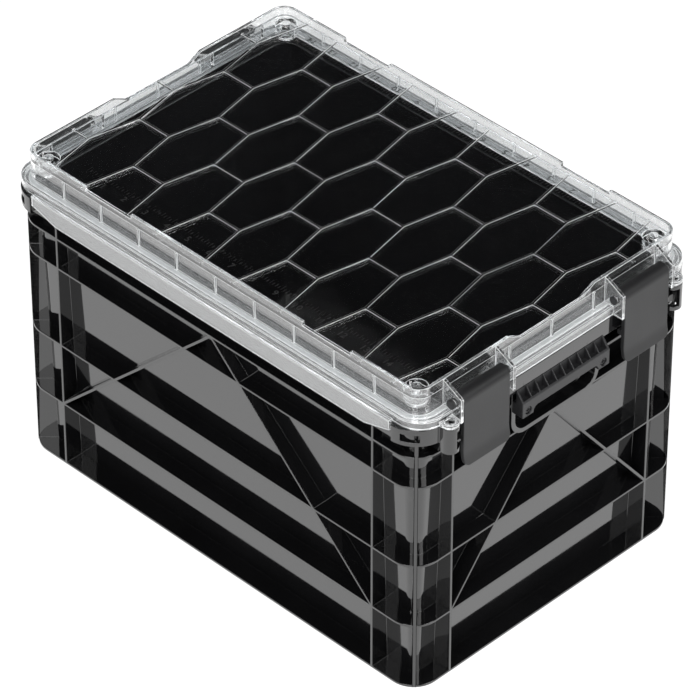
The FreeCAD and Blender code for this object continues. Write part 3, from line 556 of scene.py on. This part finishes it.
class CRATE_OT_hinges(bpy.types.Operator):
    """Rounds the two hinge blocks on the rear rim"""
    bl_idname = "crate.hinges"
    bl_label = "Hinge blocks"

    def execute(self, context):
        for side in ("left", "right"):
            node = "hinge_block_" + side
            piece = copy_of(node, node + "_moulding")
            round_edges(piece, context.scene.crate_sizes.latch_edge)
            dress(piece, "tub", "latch_plastic", finish("latch_satin"), node)
        return {"FINISHED"}


class CRATE_OT_pins(bpy.types.Operator):
    """Rounds the pins of the latches and hinges, and their caps"""
    bl_idname = "crate.pins"
    bl_label = "Pins and caps"

    def execute(self, context):
        edge = context.scene.crate_sizes.metal_edge
        for kind in ("latch", "hinge"):
            for side in ("left", "right"):
                node = "%s_pin_%s" % (kind, side)
                piece = copy_of(node, node + "_turned")
                round_edges(piece, edge, angle=TURNED_ANGLE)
                dress(piece, "lid", "screw_steel", finish("dark_steel"), node)
            node = kind + "_pin_caps"
            piece = copy_of(node, node + "_moulding")
            round_edges(piece, edge, segments=3, angle=TURNED_ANGLE)
            dress(piece, "lid", "latch_plastic", finish("latch_satin"), node)
        return {"FINISHED"}


class CRATE_OT_screws(bpy.types.Operator):
    """Rounds the screw heads and cuts a cross recess in each"""
    bl_idname = "crate.screws"
    bl_label = "Screws"

    def execute(self, context):
        sizes = context.scene.crate_sizes
        for node in (
            "front_handle_screws", "rear_handle_screws",
            "hinge_screws_left", "hinge_screws_right",
        ):
            piece = copy_of(node, node + "_turned")
            round_edges(piece, sizes.metal_edge, angle=TURNED_ANGLE)
            low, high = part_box(node)
            outer = high[0] if high[0] > 0 else low[0]
            head = (high[2] - low[2]) / 2
            middle_z = (low[2] + high[2]) / 2
            cutters = []
            for middle_y in (low[1] + head, high[1] - head):
                for half_y, half_z in (
                    (sizes.recess_span / 2, sizes.recess_width / 2),
                    (sizes.recess_width / 2, sizes.recess_span / 2),
                ):
                    cutters.append(block(
                        "recess",
                        (outer - sizes.recess_depth, middle_y - half_y, middle_z - half_z),
                        (outer + sizes.recess_depth, middle_y + half_y, middle_z + half_z)))
            cut(piece, cutters)
            dress(piece, "tub", "screw_steel", finish("dark_steel"), node)
        return {"FINISHED"}


class CRATE_OT_ruler(bpy.types.Operator):
    """Lays a plain ruler along both long edges of the lid's panel"""
    bl_idname = "crate.ruler"
    bl_label = "Ruler"

    def execute(self, context):
        sizes = context.scene.crate_sizes
        pitches, parts = 15, 8
        length_shares = {1: 0.5, 2: 0.7, 4: 0.85, 8: 1.0}
        marks = [self.numeral(sizes, number) for number in range(1, pitches)]
        step = sizes.ruler_pitch / parts
        for every, share in length_shares.items():
            count = pitches * parts // every
            marks.append(self.ticks(sizes, step * every, count, share * sizes.ruler_height))
        pick(*marks)
        bpy.ops.object.join()
        near = bpy.context.active_object
        near.name = "ruler_near"
        far = bpy.data.objects.new("ruler_far", near.data.copy())
        context.scene.collection.objects.link(far)
        far.data.transform(Matrix.Rotation(math.pi, 4, "Z"))
        for piece in (near, far):
            dress(piece, "lid", "lid_clear", finish("ruler_frost"))
        return {"FINISHED"}

    def numeral(self, sizes, number):
        """A raised number at its place on the ruler."""
        figure_share = 0.69
        bpy.ops.object.select_all(action="DESELECT")
        x = sizes.ruler_start + sizes.ruler_pitch * number
        bpy.ops.object.text_add(location=(x, -sizes.ruler_row, sizes.panel_top))
        text = bpy.context.active_object
        text.data.body = str(number)
        text.data.size = sizes.ruler_height / figure_share
        text.data.align_x = "CENTER"
        text.data.align_y = "CENTER"
        text.data.extrude = sizes.mark_rise / 2
        bpy.ops.object.convert(target="MESH")
        mark = bpy.context.active_object
        bpy.ops.object.transform_apply(location=True, rotation=True, scale=True)
        mark.data.transform(Matrix.Translation((0, 0, sizes.mark_rise / 2)))
        return mark

    def ticks(self, sizes, step, count, length):
        """A row of raised lines, one at each step."""
        width_share = 0.06
        y = -sizes.ruler_row + sizes.ruler_height
        z = sizes.panel_top
        width = sizes.ruler_height * width_share
        mark = block(
            "tick",
            (sizes.ruler_start - width / 2, y, z),
            (sizes.ruler_start + width / 2, y + length, z + sizes.mark_rise))
        row = mark.modifiers.new("row", "ARRAY")
        row.count = count + 1
        row.use_relative_offset = False
        row.use_constant_offset = True
        row.constant_offset_displace = (step, 0, 0)
        pick(mark)
        bpy.ops.object.modifier_apply(modifier=row.name)
        return mark


# Floor, light and camera

class CRATE_OT_stage(bpy.types.Operator):
    """Sets the pale floor, the soft light and the camera"""
    bl_idname = "crate.stage"
    bl_label = "Stage"

    def execute(self, context):
        self.floor(context)
        self.lights(context)
        self.camera(context)
        return {"FINISHED"}

    def floor(self, context):
        """A wide pale floor that gives off its own light, just under the crate."""
        floor_size, floor_gap = 60, 0.0002
        floor_grey, floor_shine = 0.25, 0.97
        bpy.ops.object.select_all(action="DESELECT")
        bpy.ops.mesh.primitive_plane_add(size=floor_size, location=(0, 0, -floor_gap))
        floor = bpy.context.active_object
        floor.name = "studio_floor"
        bpy.ops.object.transform_apply(location=True, rotation=True, scale=True)
        material, tree, shader = new_finish("studio_floor_paper")
        colour = (*context.scene.crate_colours.floor_white, 1.0)
        shader.inputs["Base Color"].default_value = (floor_grey, floor_grey, floor_grey, 1.0)
        shader.inputs["Roughness"].default_value = 0.9
        shader.inputs["Emission Color"].default_value = colour
        shader.inputs["Emission Strength"].default_value = floor_shine
        floor.data.materials.append(material)

    def lights(self, context):
        """Two softboxes in dark air."""
        air_dark = (0.014, 0.014, 0.0145, 1.0)
        scene = context.scene
        scene.view_settings.view_transform = "Standard"
        world = bpy.data.worlds.new("studio_air")
        world.use_nodes = True
        back = world.node_tree.nodes["Background"]
        back.inputs["Color"].default_value = air_dark
        scene.world = world
        for name, place, size, power in (
            ("key_softbox", (1.2, -2.6, 3.2), 2.4, 85.0),
            ("side_softbox", (3.2, 0.6, 2.6), 2.0, 65.0),
        ):
            light = bpy.data.lights.new(name, "AREA")
            light.shape = "SQUARE"
            light.size = size
            light.energy = power
            lamp = bpy.data.objects.new(name, light)
            scene.collection.objects.link(lamp)
            lamp.location = place
            lamp.rotation_euler = (-Vector(place)).to_track_quat("-Z", "Y").to_euler()

    def camera(self, context):
        """A long lens at the photo's angle."""
        sensor_width, far_clip = 36.0, 200.0
        studio = context.scene.crate_studio
        data = bpy.data.cameras.new("studio_camera")
        camera = bpy.data.objects.new("studio_camera", data)
        context.scene.collection.objects.link(camera)
        data.sensor_width = sensor_width
        data.lens = studio.lens
        data.clip_end = far_clip
        back = Vector((
            math.sin(studio.azimuth) * math.cos(studio.elevation),
            -math.cos(studio.azimuth) * math.cos(studio.elevation),
            math.sin(studio.elevation)))
        camera.location = Vector(studio.aim) + back * studio.distance
        camera.rotation_euler = (-back).to_track_quat("-Z", "Y").to_euler()
        context.scene.camera = camera


class CRATE_PT_panel(bpy.types.Panel):
    """Lists the crate's pieces in the sidebar"""
    bl_idname = "CRATE_PT_panel"
    bl_label = "Crate"
    bl_space_type = "VIEW_3D"
    bl_region_type = "UI"
    bl_category = "Crate"

    def draw(self, context):
        for operator in OPERATORS:
            self.layout.operator(operator.bl_idname)
        for group in ("crate_sizes", "crate_colours", "crate_studio"):
            settings = getattr(context.scene, group)
            box = self.layout.box()
            for label in settings.bl_rna.properties.keys():
                if label not in ("rna_type", "name"):
                    box.prop(settings, label)


GROUPS = (("crate_sizes", CrateSizes), ("crate_colours", CrateColours), ("crate_studio", CrateStudio))
OPERATORS = (
    CRATE_OT_stage, CRATE_OT_tub, CRATE_OT_handles, CRATE_OT_lid, CRATE_OT_seal,
    CRATE_OT_latches, CRATE_OT_hinges, CRATE_OT_pins, CRATE_OT_screws, CRATE_OT_ruler,
)


def register():
    for name, group in GROUPS:
        bpy.utils.register_class(group)
        setattr(bpy.types.Scene, name, bpy.props.PointerProperty(type=group))
    for operator in OPERATORS:
        bpy.utils.register_class(operator)
    bpy.utils.register_class(CRATE_PT_panel)


def unregister():
    bpy.utils.unregister_class(CRATE_PT_panel)
    for operator in reversed(OPERATORS):
        bpy.utils.unregister_class(operator)
    for name, group in reversed(GROUPS):
        delattr(bpy.types.Scene, name)
        bpy.utils.unregister_class(group)


def main():
    """Builds every piece in turn."""
    register()
    bpy.ops.crate.stage()
    bpy.ops.crate.tub()
    bpy.ops.crate.handles()
    bpy.ops.crate.lid()
    bpy.ops.crate.seal()
    bpy.ops.crate.latches()
    bpy.ops.crate.hinges()
    bpy.ops.crate.pins()
    bpy.ops.crate.screws()
    bpy.ops.crate.ruler()


if __name__ == "__main__":
    main()
